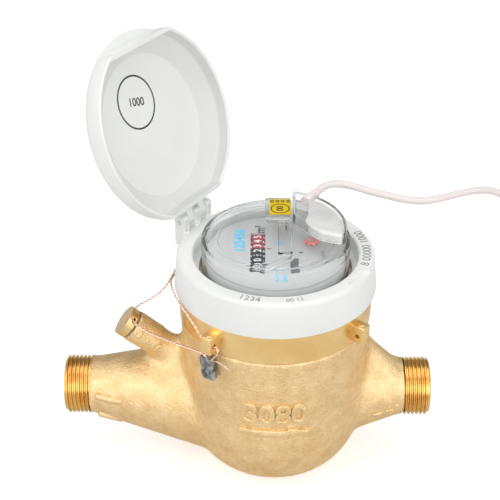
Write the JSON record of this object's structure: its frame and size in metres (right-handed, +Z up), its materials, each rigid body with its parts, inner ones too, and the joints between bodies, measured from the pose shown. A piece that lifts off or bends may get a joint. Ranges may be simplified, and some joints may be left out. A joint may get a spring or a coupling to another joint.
{
  "type": "water meter",
  "caption": "Brass-bodied multi-jet water meter with threaded ends, open hinged lid, roller counter under a clear cover, pulse sensor with lead, sealed adjusting plug",
  "frame": {"origin": "middle of the flat base, under the head axis", "axes": "+X along the flow to the outlet, +Z up, -Y to the front"},
  "size_m": [0.275, 0.1595, 0.1881],
  "materials": {
    "cast_brass": "sand-cast brass, blasted",
    "turned_brass": "turned brass, bright",
    "white_plastic": "warm white moulding",
    "chamber_plastic": "off-white moulding",
    "grey_plastic": "pale grey moulding",
    "black_plastic": "blue-black moulding",
    "red_plastic": "red moulding",
    "steel": "ground steel",
    "magnet": "sintered ferrite",
    "rubber": "black sealing rubber",
    "dial_print": "printed pale grey dial",
    "clear_plastic": "clear moulding",
    "gland_plastic": "translucent strain relief",
    "label": "yellow printed label",
    "reed_glass": "glass envelope",
    "seal_wire": "stranded copper sealing wire",
    "seal_lead": "crimped grey seal",
    "cable_jacket": "pale pinkish grey jacket"
  },
  "bodies": {
    "meter": {"body": "cast_brass", "strainer_basket": "white_plastic", "measuring_chamber": "chamber_plastic", "chamber_lid": "chamber_plastic", "impeller_pivot": "steel", "plate_seal": "rubber", "pressure_plate": "chamber_plastic", "slip_ring": "grey_plastic", "head_ring": "turned_brass", "register_base": "grey_plastic", "movement_plate": "grey_plastic", "drum_shaft": "steel", "dial_plate": "dial_print", "register_cover": "clear_plastic", "clip_bar": "clear_plastic", "seal_label": "label", "seal_loop": "clear_plastic", "sensor_housing": "clear_plastic", "sensor_potting": "white_plastic", "reed_switch": "reed_glass", "cable_gland": "gland_plastic", "collar": "white_plastic", "hinge_pin": "steel", "adjusting_plug": "turned_brass", "plug_gasket": "rubber", "regulating_screw": "turned_brass", "seal_wire": "seal_wire", "lead_seal": "seal_lead", "pulse_cable": "cable_jacket", "cable_coil": "cable_jacket", "coil_tie": "black_plastic", "cable_end": "turned_brass"},
    "lid": {"lid": "white_plastic"},
    "impeller": {"impeller": "chamber_plastic", "impeller_magnet": "magnet"},
    "follower": {"follower_arbor": "white_plastic", "follower_magnet": "magnet"},
    "star": {"star_arbor": "white_plastic", "pulse_star": "red_plastic"},
    "drum_1": {"number_drum_1": "black_plastic"},
    "drum_2": {"number_drum_2": "black_plastic"},
    "drum_3": {"number_drum_3": "black_plastic"},
    "drum_4": {"number_drum_4": "black_plastic"},
    "drum_5": {"number_drum_5": "black_plastic"},
    "drum_6": {"number_drum_6": "red_plastic"},
    "drum_7": {"number_drum_7": "red_plastic"},
    "drum_8": {"number_drum_8": "red_plastic"}
  },
  "joints": [
    {"name": "lid_hinge", "type": "hinge", "parent": "meter", "child": "lid", "pos_m": [-0.03632, 0.02226, 0.1113], "axis": [0.5225, 0.8526, 0], "range_deg": [0, 90]},
    {"name": "impeller_spin", "type": "hinge", "parent": "meter", "child": "impeller", "pos_m": [0, 0, 0.03], "axis": [0, 0, 1], "continuous": true},
    {"name": "follower_spin", "type": "hinge", "parent": "meter", "child": "follower", "pos_m": [0, 0, 0.085], "axis": [0, 0, 1], "continuous": true},
    {"name": "star_spin", "type": "hinge", "parent": "meter", "child": "star", "pos_m": [0.01542, 0.00642, 0.1], "axis": [0, 0, 1], "continuous": true},
    {"name": "drum_1_spin", "type": "hinge", "parent": "meter", "child": "drum_1", "pos_m": [-0.00765, -0.0138, 0.0977], "axis": [0, 1, 0], "continuous": true},
    {"name": "drum_2_spin", "type": "hinge", "parent": "meter", "child": "drum_2", "pos_m": [-0.00765, -0.00997, 0.0977], "axis": [0, 1, 0], "continuous": true},
    {"name": "drum_3_spin", "type": "hinge", "parent": "meter", "child": "drum_3", "pos_m": [-0.00765, -0.00615, 0.0977], "axis": [0, 1, 0], "continuous": true},
    {"name": "drum_4_spin", "type": "hinge", "parent": "meter", "child": "drum_4", "pos_m": [-0.00765, -0.00231, 0.0977], "axis": [0, 1, 0], "continuous": true},
    {"name": "drum_5_spin", "type": "hinge", "parent": "meter", "child": "drum_5", "pos_m": [-0.00765, 0.00152, 0.0977], "axis": [0, 1, 0], "continuous": true},
    {"name": "drum_6_spin", "type": "hinge", "parent": "meter", "child": "drum_6", "pos_m": [-0.00765, 0.00534, 0.0977], "axis": [0, 1, 0], "continuous": true},
    {"name": "drum_7_spin", "type": "hinge", "parent": "meter", "child": "drum_7", "pos_m": [-0.00765, 0.00918, 0.0977], "axis": [0, 1, 0], "continuous": true},
    {"name": "drum_8_spin", "type": "hinge", "parent": "meter", "child": "drum_8", "pos_m": [-0.00765, 0.013, 0.0977], "axis": [0, 1, 0], "continuous": true}
  ],
  "couplings": [
    {"joint": "follower_spin", "follows": "impeller_spin", "ratio": 1},
    {"joint": "star_spin", "follows": "impeller_spin", "ratio": -0.66667},
    {"joint": "drum_1_spin", "follows": "impeller_spin", "ratio": -0.0000000004},
    {"joint": "drum_2_spin", "follows": "impeller_spin", "ratio": -0.000000004},
    {"joint": "drum_3_spin", "follows": "impeller_spin", "ratio": -0.00000004},
    {"joint": "drum_4_spin", "follows": "impeller_spin", "ratio": -0.0000004},
    {"joint": "drum_5_spin", "follows": "impeller_spin", "ratio": -0.000004},
    {"joint": "drum_6_spin", "follows": "impeller_spin", "ratio": -0.00004},
    {"joint": "drum_7_spin", "follows": "impeller_spin", "ratio": -0.0004},
    {"joint": "drum_8_spin", "follows": "impeller_spin", "ratio": -0.004}
  ]
}
